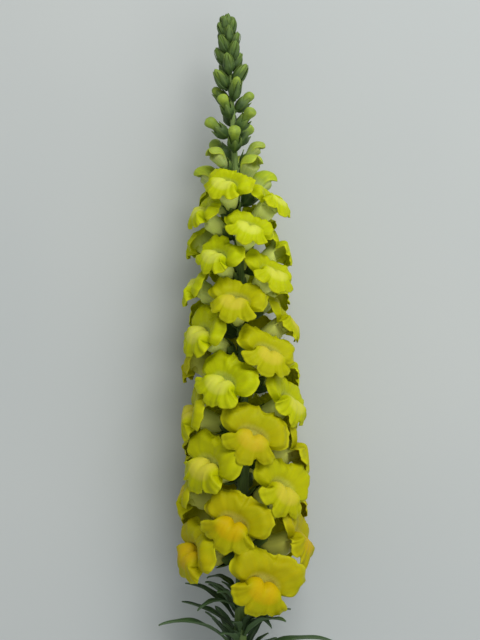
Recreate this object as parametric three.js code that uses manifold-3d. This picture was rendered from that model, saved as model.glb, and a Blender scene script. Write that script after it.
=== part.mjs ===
// One cut stem of yellow snapdragon (Antirrhinum majus), lying on a surface. Millimetres, +Z up.
// The stalk runs along +Y from its cut end to its bud tip. Its lower part carries narrow leaves, its
// upper part a raceme: two-lipped flowers in a golden-angle spiral, then opening buds, then green buds.
// What points at the surface is pressed flat on it, as the weight of the stem does.
// The origin is the centre of the bounding box, at its bottom.
import * as THREE from "three";
import { mergeVertices } from "three/addons/utils/BufferGeometryUtils.js";
import Module from "manifold-3d";

const wasm = await Module();
wasm.setup();

// ---- Driving dimensions -------------------------------------------------------------------------

const STEM_LENGTH = 500;
const CUT_RADIUS = 4.5;
const RACEME_RADIUS = 3.5; // stalk radius at the lowest flower
const TIP_RADIUS = 0.8;
const BOW = 9; // sideways bow of the stalk at half its length
const REST_HEIGHT = 37; // height of the stalk where the flowers carry it
const LEVEL_FROM = 220; // the stalk has risen to REST_HEIGHT here
const RISE_POWER = 1.7;

const FLOWER_COUNT = 40;
const OPENING_COUNT = 6;
const BUD_COUNT = 30;
const FIRST_FLOWER = 186; // distance of the lowest flower from the cut end
const OLD_GAP = 5.9; // along the stalk, between the lowest two flowers
const YOUNG_GAP = 4.7; // the same between the top two flowers
const CLOSING_POWER = 1.66; // how steadily opening buds and buds close up towards the tip
const FIRST_TURN = 20; // degrees round the stalk of the lowest flower, 0 being straight up
const GOLDEN_ANGLE = 137.508;

const PEDICEL = 3.6; // length of a flower's own stalk outside the main stalk
const PEDICEL_RADIUS = 1.1;
const OLD_PITCH = 84; // degrees between a flower and the stalk, lowest flower
const YOUNG_PITCH = 50; // the same, top flower
const OLD_SCALE = 1.18; // size of the lowest flower against the corolla measures below
const YOUNG_SCALE = 0.92; // the same, top flower
const ROLL = -24; // degrees a flower is rolled about its own axis
const YOUNG_SPREAD = 0.72; // how far the top flower's lips have spread against the lowest one's
const PETAL_THICKNESS = 0.8;

const LEAF_COUNT = 13;
const FIRST_LEAF = 58; // distance of the lowest leaf from the cut end
const LAST_LEAF = 178;
const LEAF_LENGTH = 56;
const TOP_LEAF_LENGTH = 30;
const LEAF_WIDTH = 9.5;
const LEAF_THICKNESS = 0.7;

const SEED = 16; // picks one of many alike stems
const PRESS_HEIGHT = 7; // what would come lower than this is squeezed down to PRESS_FLOOR
const PRESS_FLOOR = 1;
const SEAT_GAP = 0.35; // clearance between neighbouring solids
const WELD = 0.02; // edges shorter than this vanish where green solids join

// The corolla in its own frame: x forward out of the calyx, y to the side, z towards the upper lip.
// Tube rows are x, half width, half height.
const TUBE = [
  [2.5, 1.2, 1.2],
  [3.4, 2.4, 2.7],
  [5.0, 3.4, 4.0],
  [8.0, 4.4, 4.7],
  [11.8, 5.8, 5.2],
  [15.5, 7.3, 5.9],
];
// Upper lip rows are x and how far out from the tube's mouth.
const UPPER_LIP = [
  [18.0, 0.0],
  [20.0, 0.27],
  [21.8, 1.62],
  [23.2, 4.32],
  [23.9, 7.38],
  [23.8, 10.26],
  [22.9, 12.78],
  [21.2, 14.94],
];
// Lower lip rows are x, how far out, and how far up the pouched palate lifts.
const LOWER_LIP = [
  [17.2, 0.3, 3.4],
  [18.0, 0.5, 8.4],
  [20.4, 0.9, 11.2],
  [24.6, 1.3, 10.6],
  [27.6, 1.5, 6.4],
  [25.6, 2.8, 1.0],
  [25.6, 6.8, 0.0],
  [24.0, 10.4, 0.0],
];
const POUCH = 1.0; // swelling under the base of the tube

// ---- Small helpers ------------------------------------------------------------------------------

const radians = THREE.MathUtils.degToRad;
const lerp = THREE.MathUtils.lerp;
const clamp = THREE.MathUtils.clamp;

function smooth(from, to, value) {
  const t = clamp((value - from) / (to - from), 0, 1);
  return t * t * (3 - 2 * t);
}

// A repeatable number from 0 to 1 for item i and purpose k.
function chance(i, k) {
  const wave = Math.sin(i * 12.9898 + (k + 0.1 * SEED) * 78.233) * 43758.5453;
  return wave - Math.floor(wave);
}

// ---- The stalk ----------------------------------------------------------------------------------

function stalkPoint(s) {
  const rise = 1 - (1 - clamp(s / LEVEL_FROM, 0, 1)) ** RISE_POWER;
  return new THREE.Vector3(
    BOW * Math.sin((Math.PI * s) / STEM_LENGTH),
    s,
    CUT_RADIUS + (REST_HEIGHT - CUT_RADIUS) * rise,
  );
}

function stalkRadius(s) {
  if (s < FIRST_FLOWER) return lerp(CUT_RADIUS, RACEME_RADIUS, s / FIRST_FLOWER);
  const t = (s - FIRST_FLOWER) / (STEM_LENGTH - FIRST_FLOWER);
  return lerp(RACEME_RADIUS, TIP_RADIUS, t ** 1.6);
}

// The stalk's direction, and the level side direction and upward direction square to it.
function stalkFrame(s) {
  const step = 0.5;
  const low = Math.max(0, s - step);
  const high = Math.min(STEM_LENGTH, s + step);
  const along = stalkPoint(high).sub(stalkPoint(low)).normalize();
  const side = along.clone().cross(new THREE.Vector3(0, 0, 1)).normalize();
  const up = side.clone().cross(along);
  return { along, side, up };
}

// The direction away from the stalk at an angle round it, 0 being up.
function outward(frame, turn) {
  return frame.side
    .clone()
    .multiplyScalar(Math.sin(turn))
    .addScaledVector(frame.up, Math.cos(turn));
}

// Squeezes a height that would be under PRESS_HEIGHT into the layer above the surface.
function press(point) {
  const room = PRESS_HEIGHT - PRESS_FLOOR;
  if (point.z < PRESS_HEIGHT)
    point.z = PRESS_FLOOR + room * Math.exp((point.z - PRESS_HEIGHT) / room);
  return point;
}

// ---- Closed surfaces ----------------------------------------------------------------------------

// A closed surface of triangles that go round alike, all turned to face out.
function facingOut(points, faces) {
  const volume = faces.reduce((sum, [a, b, c]) => {
    const normal = points[b].clone().cross(points[c]);
    return sum + points[a].dot(normal);
  }, 0);
  const outwardFaces = volume < 0 ? faces.map(([a, b, c]) => [a, c, b]) : faces;
  const geometry = new THREE.BufferGeometry().setFromPoints(points);
  geometry.setIndex(outwardFaces.flat());
  return geometry;
}

// Rings of equally many points, from a first pole to a last pole, as one closed surface facing out.
// Where slant says so, a quad is split between its second and fourth corners, and elsewhere between
// its first and third.
function closedGeometry(first, rings, last, slant = () => false) {
  const count = rings[0].length;
  const points = [first, ...rings.flat(), last];
  const faces = [];
  const at = (ring, k) => 1 + ring * count + (k % count);
  for (let k = 0; k < count; k++) {
    faces.push([0, at(0, k + 1), at(0, k)]);
    for (let ring = 0; ring + 1 < rings.length; ring++) {
      const [a, b, c, d] = [at(ring, k), at(ring, k + 1), at(ring + 1, k + 1), at(ring + 1, k)];
      if (slant(ring, k)) faces.push([a, b, d], [b, c, d]);
      else faces.push([a, b, c], [a, c, d]);
    }
    faces.push([at(rings.length - 1, k), at(rings.length - 1, k + 1), points.length - 1]);
  }
  return facingOut(points, faces);
}

function solidOf(geometry) {
  const bare = geometry.clone();
  bare.deleteAttribute("normal");
  bare.deleteAttribute("uv");
  const merged = mergeVertices(bare, 1e-4);
  return new wasm.Manifold(
    new wasm.Mesh({
      numProp: 3,
      vertProperties: merged.attributes.position.array,
      triVerts: new Uint32Array(merged.index.array),
    }),
  );
}

// The joined solids as one mesh, with any pocket sealed between them filled.
function joined(solids) {
  const pieces = wasm.Manifold.union(solids).asOriginal().simplify(WELD).decompose();
  const bodies = pieces.filter((piece) => piece.volume() > 0);
  const mesh = wasm.Manifold.compose(bodies).getMesh();
  const geometry = new THREE.BufferGeometry();
  geometry.setAttribute("position", new THREE.BufferAttribute(mesh.vertProperties, 3));
  geometry.setIndex(new THREE.BufferAttribute(mesh.triVerts, 1));
  return geometry;
}

// ---- Organs on the raceme -----------------------------------------------------------------------

// Distances of all flowers, opening buds and buds from the cut end, closing up towards the tip.
function organPositions() {
  const closing = OPENING_COUNT + BUD_COUNT;
  const open = (i) => FIRST_FLOWER + i * lerp(OLD_GAP, YOUNG_GAP, (0.5 * i) / FLOWER_COUNT);
  const left = STEM_LENGTH - open(FLOWER_COUNT);
  return Array.from({ length: FLOWER_COUNT + closing }, (_, i) => {
    const t = (i - FLOWER_COUNT) / closing;
    return t < 0 ? open(i) : STEM_LENGTH - left * (1 - t) ** CLOSING_POWER;
  });
}

// Where organ i sits: the root of its pedicel, its base, and its own three directions.
function organFrame(i, s, pitch, pedicel, yaw = 0, roll = 0) {
  const frame = stalkFrame(s);
  const turn = radians(FIRST_TURN + i * GOLDEN_ANGLE);
  const out = outward(frame, turn);
  const forward = frame.along
    .clone()
    .multiplyScalar(Math.cos(pitch))
    .addScaledVector(out, Math.sin(pitch));
  const top = frame.along
    .clone()
    .multiplyScalar(Math.sin(pitch))
    .addScaledVector(out, -Math.cos(pitch));
  const root = stalkPoint(s);
  const base = root
    .clone()
    .addScaledVector(out, stalkRadius(s))
    .addScaledVector(forward, pedicel * 0.5)
    .addScaledVector(out, pedicel * 0.5);
  forward.applyAxisAngle(top, yaw);
  top.applyAxisAngle(forward, roll);
  const side = top.clone().cross(forward);
  return { root, base, forward, side, top };
}

function placed(organ, x, y, z) {
  return organ.base
    .clone()
    .addScaledVector(organ.forward, x)
    .addScaledVector(organ.side, y)
    .addScaledVector(organ.top, z);
}

// Flower i: young ones at the top are smaller and stand closer to the stalk.
function flowerOrgan(i, s) {
  const age = 1 - i / (FLOWER_COUNT - 1);
  const pitch = lerp(YOUNG_PITCH, OLD_PITCH, age) + 6 * (chance(i, 1) - 0.5);
  const yaw = radians(8 * (chance(i, 2) - 0.5));
  const roll = radians(ROLL + 10 * (chance(i, 3) - 0.5));
  const organ = organFrame(i, s, radians(pitch), PEDICEL, yaw, roll);
  const full = lerp(YOUNG_SCALE, OLD_SCALE, age);
  organ.scale = full * (1 + 0.06 * (chance(i, 4) - 0.5));
  organ.spread = lerp(YOUNG_SPREAD, 1, smooth(0, 0.7, age));
  return organ;
}

// ---- The corolla --------------------------------------------------------------------------------

// Round outline of one lobe: 1 in its middle, 0 at its two gaps.
function lobe(angle, centre, half) {
  const d = Math.abs((angle - centre) / half);
  return clamp(1 - d ** 2.2, 0, 1) ** 0.55;
}

// Control points of the line that runs from the base of the tube to the margin of a lip, at an
// angle round the flower in degrees, 0 at the top. Two lobes above, a palate and three lobes below.
// Openness is how far the lips have spread, 1 in an old flower.
function petalLine(angle, openness) {
  const up = Math.abs(angle);
  const low = 180 - up;
  const mix = smooth(84, 98, up);
  const notch = 1 - 0.22 * Math.exp(-((up / 8) ** 2));
  const shoulder = lerp(0.86, 1, smooth(16, 55, up));
  const upperReach = notch * shoulder * clamp(1 - (up / 92) ** 5, 0.04, 1) ** 0.7;
  const lowerReach = Math.max(lobe(low, 58, 33), 0.88 * lobe(low, 0, 29), 0.16);
  const furrow = 1 - 0.24 * Math.exp(-((low / 10) ** 2));
  const palate = clamp(Math.cos(radians(Math.min(low * 1.15, 90))), 0, 1) ** 0.7 * furrow;
  const stand = smooth(92, 72, low);
  const above = up * (0.75 + 0.27 * smooth(30, 88, up));
  const below = 180 - low * (1.12 - 0.1 * smooth(50, 88, low));
  const spread = Math.sign(angle) * radians(lerp(above, below, mix));
  const sine = Math.sin(radians(angle));
  const cosine = Math.cos(radians(angle));
  const line = TUBE.map(([x, half, tall], row) => {
    const pouch = row === 2 && cosine < 0 ? POUCH * cosine * cosine : 0;
    return new THREE.Vector3(x, half * sine, tall * cosine - pouch);
  });
  const mouth = line.at(-1);
  const lobeRoot = LOWER_LIP[5];
  UPPER_LIP.forEach(([upperX, upperOut], row) => {
    const reach = row > 1 ? upperReach : 1;
    const hinge = row > 1 ? UPPER_LIP[1] : [upperX, upperOut];
    const ux = lerp(hinge[0], upperX, reach);
    const uOut = lerp(hinge[1], upperOut, reach);
    const [lowerX, lowerOut, lift] = LOWER_LIP[row];
    const along = row > 5 ? lerp(lobeRoot[0], lowerX, lowerReach) : lowerX;
    const away = row > 5 ? lerp(lobeRoot[1], lowerOut, lowerReach) : lowerOut;
    const lx = mouth.x + (along - mouth.x) * (0.25 + 0.75 * stand);
    const lOut = away * (0.3 + 0.7 * stand);
    const out = lerp(uOut, lOut, mix) * openness;
    const raised = lift * palate * mix;
    line.push(
      new THREE.Vector3(
        lerp(ux, lx, mix),
        mouth.y + out * Math.sin(spread),
        mouth.z + out * Math.cos(spread) + raised,
      ),
    );
  });
  return line;
}

// A point of the cubic B-spline through control points, its ends pinned.
function splinePoint(line, t) {
  const i = Math.min(Math.floor(t), line.length - 2);
  const f = t - i;
  const before = i > 0 ? line[i - 1] : line[0].clone().multiplyScalar(2).sub(line[1]);
  const after =
    i + 2 < line.length ? line[i + 2] : line[i + 1].clone().multiplyScalar(2).sub(line[i]);
  return new THREE.Vector3()
    .addScaledVector(before, (1 - f) ** 3 / 6)
    .addScaledVector(line[i], (3 * f ** 3 - 6 * f ** 2 + 4) / 6)
    .addScaledVector(line[i + 1], (-3 * f ** 3 + 3 * f ** 2 + 3 * f + 1) / 6)
    .addScaledVector(after, f ** 3 / 6);
}

// Angles round the flower, either side of the notch: shoulder of the notch, upper lobe, its outer
// edge, mouth corner, side lobe, gap, middle lobe.
const HALF_ANGLES = [14, 38, 64, 88, 108, 150, 172];
const CORNER_ANGLES = [0, ...HALF_ANGLES, ...HALF_ANGLES.map((a) => -a).reverse()];
// Places along the line, as [upper lip, lower lip]. Both faces of the lips are split alike.
const TUBE_STATIONS = [
  [1, 1],
  [5, 5],
];
const LIP_STATIONS = [
  [9.2, 9.6],
  [11, 11.4],
  [13, 13],
];
const THROAT = 7.6; // the closed mouth, where the palate meets the upper lip

// A point of a flower's corolla in space, pressed where it meets the surface.
function corollaPoint(organ, angle, t) {
  const local = splinePoint(petalLine(angle, organ.spread), t).multiplyScalar(organ.scale);
  return press(placed(organ, local.x, local.y, local.z));
}

// The direction out of the front face of the petals; forward and a little up at the corners of the
// mouth, where the two lips meet.
const CORNER = { angle: 91, width: 20, rise: 0.4 };

function corollaNormal(organ, angle, t) {
  const step = 0.05;
  const t0 = Math.max(0, t - step);
  const t1 = Math.min(13, t + step);
  const round = corollaPoint(organ, angle + 1, t).sub(corollaPoint(organ, angle - 1, t));
  const along = corollaPoint(organ, angle, t1).sub(corollaPoint(organ, angle, t0));
  const corner = Math.exp(-(((Math.abs(angle) - CORNER.angle) / CORNER.width) ** 2));
  const ahead = organ.forward.clone().addScaledVector(organ.top, CORNER.rise).normalize();
  return round.cross(along).normalize().lerp(ahead, corner).normalize();
}

function corollaGeometry(organ) {
  const ring = (stations, thickness) =>
    CORNER_ANGLES.map((angle) => {
      const mix = smooth(84, 98, Math.abs(angle));
      const t = lerp(stations[0], stations[1], mix);
      const point = corollaPoint(organ, angle, t);
      return point.addScaledVector(corollaNormal(organ, angle, t), thickness);
    });
  const rings = [
    ...TUBE_STATIONS.map((stations) => ring(stations, 0)),
    ...LIP_STATIONS.map((stations) => ring(stations, 0)),
    ...LIP_STATIONS.map((stations) => ring(stations, PETAL_THICKNESS)).reverse(),
  ];
  const base = corollaPoint(organ, 0, 0).add(corollaPoint(organ, 180, 0)).multiplyScalar(0.5);
  const mouth = corollaPoint(organ, 0, THROAT)
    .add(corollaPoint(organ, 180, THROAT))
    .multiplyScalar(0.5);
  const half = HALF_ANGLES.length;
  const margin = TUBE_STATIONS.length + LIP_STATIONS.length - 1;
  // Left and right are split as mirror images, and a petal's front as its back.
  const slant = (row, k) => {
    if (row < TUBE_STATIONS.length) return k < half;
    if (row < margin) return k > half;
    return row > margin && k <= half;
  };
  return closedGeometry(base, rings, mouth, slant);
}

// ---- Buds, calyces and pedicels -----------------------------------------------------------------

// A ring of points round an organ's axis.
function organRing(organ, x, radius, count) {
  return Array.from({ length: count }, (_, k) => {
    const a = (2 * Math.PI * k) / count;
    return placed(organ, x, radius * Math.sin(a), radius * Math.cos(a));
  });
}

// A calyx of five pointed sepals round a solid receptacle, on which the corolla sits. Its rim is a
// star of tips and gaps, and the outside and inside of a sepal are split alike.
const CALYX = { foot: -2.6, shoulder: 1.6, floor: 2.0, inside: 3.0, gap: 4.0, tip: 8.0 };
const CALYX_RADIUS = { shoulder: 4.6, inside: 3.7, gap: 4.9, tip: 5.7 };
const SEPAL_COUNT = 5;

function calyxGeometry(organ, scale) {
  const at = (kind, turn) => {
    const a = (2 * Math.PI * turn) / SEPAL_COUNT;
    const r = CALYX_RADIUS[kind] * scale;
    return placed(organ, CALYX[kind] * scale, r * Math.sin(a), r * Math.cos(a));
  };
  const points = [placed(organ, CALYX.foot * scale, 0, 0), placed(organ, CALYX.floor * scale, 0, 0)];
  const [foot, floor] = [0, 1];
  const faces = [];
  for (let k = 0; k < SEPAL_COUNT; k++) {
    points.push(at("shoulder", k), at("inside", k), at("tip", k), at("gap", k + 0.5));
    const [shoulder, inside, tip, gap] = [0, 1, 2, 3].map((n) => 2 + 4 * k + n);
    const [nextShoulder, nextInside, nextTip] = [0, 1, 2].map(
      (n) => 2 + 4 * ((k + 1) % SEPAL_COUNT) + n,
    );
    faces.push([foot, nextShoulder, shoulder], [floor, inside, nextInside]);
    faces.push([shoulder, nextShoulder, gap], [shoulder, gap, tip], [nextShoulder, nextTip, gap]);
    faces.push([inside, gap, nextInside], [inside, tip, gap], [nextInside, gap, nextTip]);
  }
  return facingOut(points, faces);
}

// A tapered rod from the middle of the stalk into the foot of an organ.
function pedicelGeometry(organ, radius) {
  const sides = 4;
  const end = placed(organ, 0.2, 0, 0);
  const axis = end.clone().sub(organ.root).normalize();
  const across = organ.side.clone().addScaledVector(axis, -organ.side.dot(axis)).normalize();
  const upright = axis.clone().cross(across);
  const ring = (centre, r) =>
    Array.from({ length: sides }, (_, k) => {
      const a = (2 * Math.PI * k) / sides;
      return centre
        .clone()
        .addScaledVector(across, r * Math.cos(a))
        .addScaledVector(upright, r * Math.sin(a));
    });
  const start = organ.root.clone().addScaledVector(axis, 0.5);
  const neck = end.clone().addScaledVector(axis, -0.8);
  return closedGeometry(organ.root, [ring(start, radius), ring(neck, radius * 1.15)], end);
}

// A closed green bud. A young one is an egg, widest below its middle; an old one narrows to a neck
// over its calyx and swells again to a knob.
const EGG_PROFILE = [
  [0.0, 0.28],
  [0.3, 0.5],
  [0.68, 0.44],
  [0.9, 0.24],
];
const KNOB_PROFILE = [
  [0.0, 0.28],
  [0.27, 0.5],
  [0.56, 0.38],
  [0.84, 0.43],
];

function budGeometry(organ, length, width) {
  const sides = 6;
  const rings = EGG_PROFILE.map(([x, r], n) => {
    const share = lerp(x, KNOB_PROFILE[n][0], organ.knob);
    const radius = lerp(r, KNOB_PROFILE[n][1], organ.knob);
    return organRing(organ, share * length, radius * width, sides);
  });
  return closedGeometry(placed(organ, -0.08 * length, 0, 0), rings, placed(organ, length, 0, 0));
}

// An opening bud: a tube that swells to a hood bent over the closed lower lip.
const OPENING_PROFILE = [
  // share of length, half width, half height, drop, as shares of the width
  [0.15, 0.16, 0.16, 0.0],
  [0.45, 0.34, 0.34, -0.02],
  [0.7, 0.5, 0.46, 0.0],
  [0.9, 0.42, 0.36, -0.1],
];

function openingGeometry(organ, length, width) {
  const sides = 10;
  const rings = OPENING_PROFILE.map(([x, half, tall, drop]) =>
    Array.from({ length: sides }, (_, k) => {
      const a = (2 * Math.PI * k) / sides;
      return placed(
        organ,
        x * length,
        half * width * Math.sin(a),
        (tall * Math.cos(a) + drop) * width,
      );
    }),
  );
  return closedGeometry(
    placed(organ, CALYX.floor * organ.scale + SEAT_GAP, 0, 0),
    rings,
    placed(organ, length, 0, -0.16 * width),
  );
}

// Opening bud and bud sizes fall off towards the tip of the stalk.
function openingOrgan(i, s) {
  const t = (i - FLOWER_COUNT) / (OPENING_COUNT - 1); // 0 for the oldest
  const pitch = lerp(42, 41, t) + 6 * (chance(i, 1) - 0.5);
  const organ = organFrame(i, s, radians(pitch), lerp(3.6, 3.0, t));
  organ.length = lerp(26, 17, t);
  organ.width = lerp(15.5, 9.6, t);
  organ.scale = lerp(0.92, 0.8, t);
  return organ;
}

function budOrgan(i, s) {
  const t = (i - FLOWER_COUNT - OPENING_COUNT) / (BUD_COUNT - 1); // 0 for the oldest
  const pitch = lerp(46, 14, t ** 0.9) + 8 * (chance(i, 1) - 0.5);
  const organ = organFrame(i, s, radians(pitch), lerp(3.4, 0.2, t ** 0.7));
  organ.length = lerp(17, 7, t ** 0.8);
  organ.width = lerp(8.8, 4.8, t ** 0.9);
  organ.knob = smooth(0.42, 0.16, t);
  return organ;
}

// ---- Leaves -------------------------------------------------------------------------------------

// Share of a leaf's full width along its length: narrow foot, widest at two fifths, long point.
function leafOutline(t) {
  return (0.28 + 0.72 * smooth(0, 0.4, t)) * (1 - t ** 2.6) ** 0.8;
}

const LEAF_STATIONS = [0, 0.1, 0.25, 0.42, 0.6, 0.78, 0.92];
const LEAF_FOLD = 0.22; // rise of the margins over the midrib, as a share of the half width

// Leaf j: where it starts, and its arched line, which leaves the stalk steeply and turns outward.
function leafLine(j) {
  const highest = j / (LEAF_COUNT - 1);
  const s = lerp(FIRST_LEAF, LAST_LEAF, highest ** 0.8);
  const frame = stalkFrame(s);
  const length = lerp(LEAF_LENGTH, TOP_LEAF_LENGTH, smooth(0.6, 1, highest)) *
    (1 + 0.16 * (chance(j, 11) - 0.5));
  const fromDown = ((j * GOLDEN_ANGLE + 250) % 360) - 180;
  const kept = Math.sign(fromDown) * lerp(58, 180, Math.abs(fromDown) / 180);
  const turn = radians(180 + kept);
  const out = outward(frame, turn);
  const across = frame.along.clone().cross(out);
  const startPitch = radians(36 + 10 * (chance(j, 12) - 0.5));
  const endPitch = radians(98 + 40 * (chance(j, 13) - 0.5));
  const point = stalkPoint(s).addScaledVector(out, stalkRadius(s) + SEAT_GAP + LEAF_THICKNESS);
  const steps = 24;
  const line = [];
  for (let k = 0; k <= steps; k++) {
    const t = k / steps;
    line.push({ t, point: press(point.clone()) });
    const pitch = lerp(startPitch, endPitch, t ** 0.9);
    point
      .addScaledVector(frame.along, (Math.cos(pitch) * length) / steps)
      .addScaledVector(out, (Math.sin(pitch) * length) / steps);
  }
  return { line, across, out, along: frame.along, width: LEAF_WIDTH * (length / LEAF_LENGTH) ** 0.5 };
}

function leafPoint(leaf, t) {
  const place = t * (leaf.line.length - 1);
  const k = Math.min(Math.floor(place), leaf.line.length - 2);
  return leaf.line[k].point.clone().lerp(leaf.line[k + 1].point, place - k);
}

function leafGeometry(leaf) {
  const rings = LEAF_STATIONS.map((t) => {
    const centre = leafPoint(leaf, t);
    const ahead = leafPoint(leaf, Math.min(1, t + 0.02)).sub(leafPoint(leaf, Math.max(0, t - 0.02)));
    ahead.normalize();
    const near = smooth(10, 2, centre.z); // on the surface the blade lies level
    const level = ahead.clone().cross(new THREE.Vector3(0, 0, 1)).normalize();
    if (level.dot(leaf.across) < 0) level.negate();
    const across = leaf.across.clone().lerp(level, near).normalize();
    const face = across.clone().cross(ahead).normalize();
    if (face.dot(leaf.along) < 0) face.negate();
    const half = (leaf.width / 2) * leafOutline(t);
    const fold = half * LEAF_FOLD * (1 - 0.7 * near);
    const corner = (y, lift) =>
      centre.clone().addScaledVector(across, y).addScaledVector(face, lift);
    const t2 = LEAF_THICKNESS / 2;
    return [
      corner(-half, fold + t2),
      corner(0, t2),
      corner(half, fold + t2),
      corner(half, fold - t2),
      corner(0, -t2 * 1.6),
      corner(-half, fold - t2),
    ];
  });
  const foot = leafPoint(leaf, 0);
  return closedGeometry(foot, rings, leafPoint(leaf, 1));
}

// ---- The stalk with everything green that grows out of it ---------------------------------------

const STALK_SIDES = 8;
const STALK_STEP = 20;

function stalkGeometry() {
  const stations = Math.round(STEM_LENGTH / STALK_STEP);
  const rings = Array.from({ length: stations + 1 }, (_, n) => {
    const s = (n / stations) * (STEM_LENGTH - 2);
    const frame = stalkFrame(s);
    const centre = stalkPoint(s);
    return Array.from({ length: STALK_SIDES }, (_, k) => {
      const turn = (2 * Math.PI * k) / STALK_SIDES;
      return centre.clone().addScaledVector(outward(frame, turn), stalkRadius(s));
    });
  });
  return closedGeometry(stalkPoint(0), rings, stalkPoint(STEM_LENGTH));
}

// ---- The part -----------------------------------------------------------------------------------

const FLOWER = new THREE.MeshStandardMaterial({ color: 0xc9c400, roughness: 0.55 });
const OPENING = new THREE.MeshStandardMaterial({ color: 0xa9b84a, roughness: 0.55 });
const STALK = new THREE.MeshStandardMaterial({ color: 0x5c7f3a, roughness: 0.6 });
const LEAF = new THREE.MeshStandardMaterial({ color: 0x2c4a24, roughness: 0.5 });

function named(name, geometry, material) {
  const mesh = new THREE.Mesh(geometry, material);
  mesh.name = name;
  return mesh;
}

const number = (i) => String(i + 1).padStart(2, "0");

function buildStem() {
  const group = new THREE.Group();
  const positions = organPositions();
  const green = [solidOf(stalkGeometry())];
  positions.forEach((s, i) => {
    if (i < FLOWER_COUNT) {
      const organ = flowerOrgan(i, s);
      green.push(solidOf(pedicelGeometry(organ, PEDICEL_RADIUS)));
      green.push(solidOf(calyxGeometry(organ, organ.scale)));
      group.add(named(`flower_${number(i)}`, corollaGeometry(organ), FLOWER));
    } else if (i < FLOWER_COUNT + OPENING_COUNT) {
      const organ = openingOrgan(i, s);
      green.push(solidOf(pedicelGeometry(organ, PEDICEL_RADIUS)));
      green.push(solidOf(calyxGeometry(organ, organ.scale)));
      const name = `opening_bud_${number(i - FLOWER_COUNT)}`;
      group.add(named(name, openingGeometry(organ, organ.length, organ.width), OPENING));
    } else {
      const organ = budOrgan(i, s);
      green.push(solidOf(pedicelGeometry(organ, PEDICEL_RADIUS * 0.8)));
      green.push(solidOf(budGeometry(organ, organ.length, organ.width)));
    }
  });
  group.add(named("stem", joined(green), STALK));
  for (let j = 0; j < LEAF_COUNT; j++)
    group.add(named(`leaf_${number(j)}`, leafGeometry(leafLine(j)), LEAF));
  return group;
}

const stem = buildStem();
const box = new THREE.Box3().setFromObject(stem, true);
const centre = box.getCenter(new THREE.Vector3());
stem.position.set(-centre.x, -centre.y, -box.min.z);

export default stem;
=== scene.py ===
import bpy
import numpy as np
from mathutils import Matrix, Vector


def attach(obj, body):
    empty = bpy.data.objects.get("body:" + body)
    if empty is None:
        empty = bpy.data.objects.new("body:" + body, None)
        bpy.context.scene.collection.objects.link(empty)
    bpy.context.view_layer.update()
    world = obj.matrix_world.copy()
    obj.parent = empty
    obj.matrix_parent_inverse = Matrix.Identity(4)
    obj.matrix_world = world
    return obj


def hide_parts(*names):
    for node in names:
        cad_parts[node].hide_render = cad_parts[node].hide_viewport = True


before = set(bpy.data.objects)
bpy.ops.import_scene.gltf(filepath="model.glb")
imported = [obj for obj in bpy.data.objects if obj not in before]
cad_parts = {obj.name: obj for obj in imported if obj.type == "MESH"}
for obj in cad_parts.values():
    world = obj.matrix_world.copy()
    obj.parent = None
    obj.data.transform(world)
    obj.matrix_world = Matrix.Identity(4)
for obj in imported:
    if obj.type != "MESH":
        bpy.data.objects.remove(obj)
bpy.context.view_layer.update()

# One cut stem of yellow snapdragon, lying on a pale floor. Lengths are millimetres until a piece is
# made, angles are degrees. The stalk runs along +Y. Along it grow leaves, two-lipped flowers in a
# golden-angle spiral, opening buds and green buds. Places, sizes and main curves are those that the
# solids are built from. The lips are drawn finer here, so their edges differ from the solids' by a
# millimetre or two, and more where a margin curls back.

# ---- Measures -----------------------------------------------------------------------------------

MM = 0.001
STEM_LENGTH = 500.0
CUT_RADIUS = 4.5
CUT_LEAN = 2.5  # the cut is square to the rising stalk, so its face leans by less than this
RACEME_RADIUS = 3.5
TIP_RADIUS = 0.8
BOW = 9.0
REST_HEIGHT = 37.0
LEVEL_FROM = 220.0
RISE_POWER = 1.7

FLOWER_COUNT = 40
OPENING_COUNT = 6
BUD_COUNT = 30
ORGAN_COUNT = FLOWER_COUNT + OPENING_COUNT + BUD_COUNT
FIRST_FLOWER = 186.0
OLD_GAP = 5.9
YOUNG_GAP = 4.7
CLOSING_POWER = 1.66
FIRST_TURN = 20.0
GOLDEN_ANGLE = 137.508

PEDICEL = 3.6
PEDICEL_RADIUS = 1.1
BUD_PEDICEL_RADIUS = 0.8 * PEDICEL_RADIUS
OLD_PITCH, YOUNG_PITCH = 84.0, 50.0
OLD_SCALE, YOUNG_SCALE = 1.18, 0.92
ROLL = -24.0
YOUNG_SPREAD = 0.8
SEED = 16

# How far chance moves a flower's or bud's pitch, yaw, roll and size, from least to most.
PITCH_PLAY, YAW_PLAY, ROLL_PLAY, SIZE_PLAY = 6, 8, 10, 0.06
BUD_PITCH_PLAY = 8

# Opening buds and closed buds, each from the oldest to the youngest.
OPENING_PITCH = (42, 41)
OPENING_PEDICEL = (3.6, 3.0)
OPENING_LENGTH = (26, 17)
OPENING_WIDTH = (15.5, 9.6)
OPENING_SCALE = (0.92, 0.8)
BUD_PITCH = (46, 14)
BUD_PEDICEL = (3.4, 0.2)
BUD_LENGTH = (17, 7)
BUD_WIDTH = (8.8, 4.8)
KNOBS_UNTIL, EGGS_FROM = 0.16, 0.42  # shares of the way up the buds

LEAF_COUNT = 13
FIRST_LEAF, LAST_LEAF = 58.0, 178.0
LEAF_LENGTH, TOP_LEAF_LENGTH = 56.0, 30.0
LEAF_WIDTH = 9.5
LEAF_THICKNESS = 0.7
LEAF_FOLD = 0.22

PRESS_HEIGHT = 7.0  # what would lie lower is squeezed into the layer between these two heights
PRESS_FLOOR = 1.0
SEAT_GAP = 0.35  # clearance between parts that sit on each other
FULL_TURN = 6.283  # radians

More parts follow.
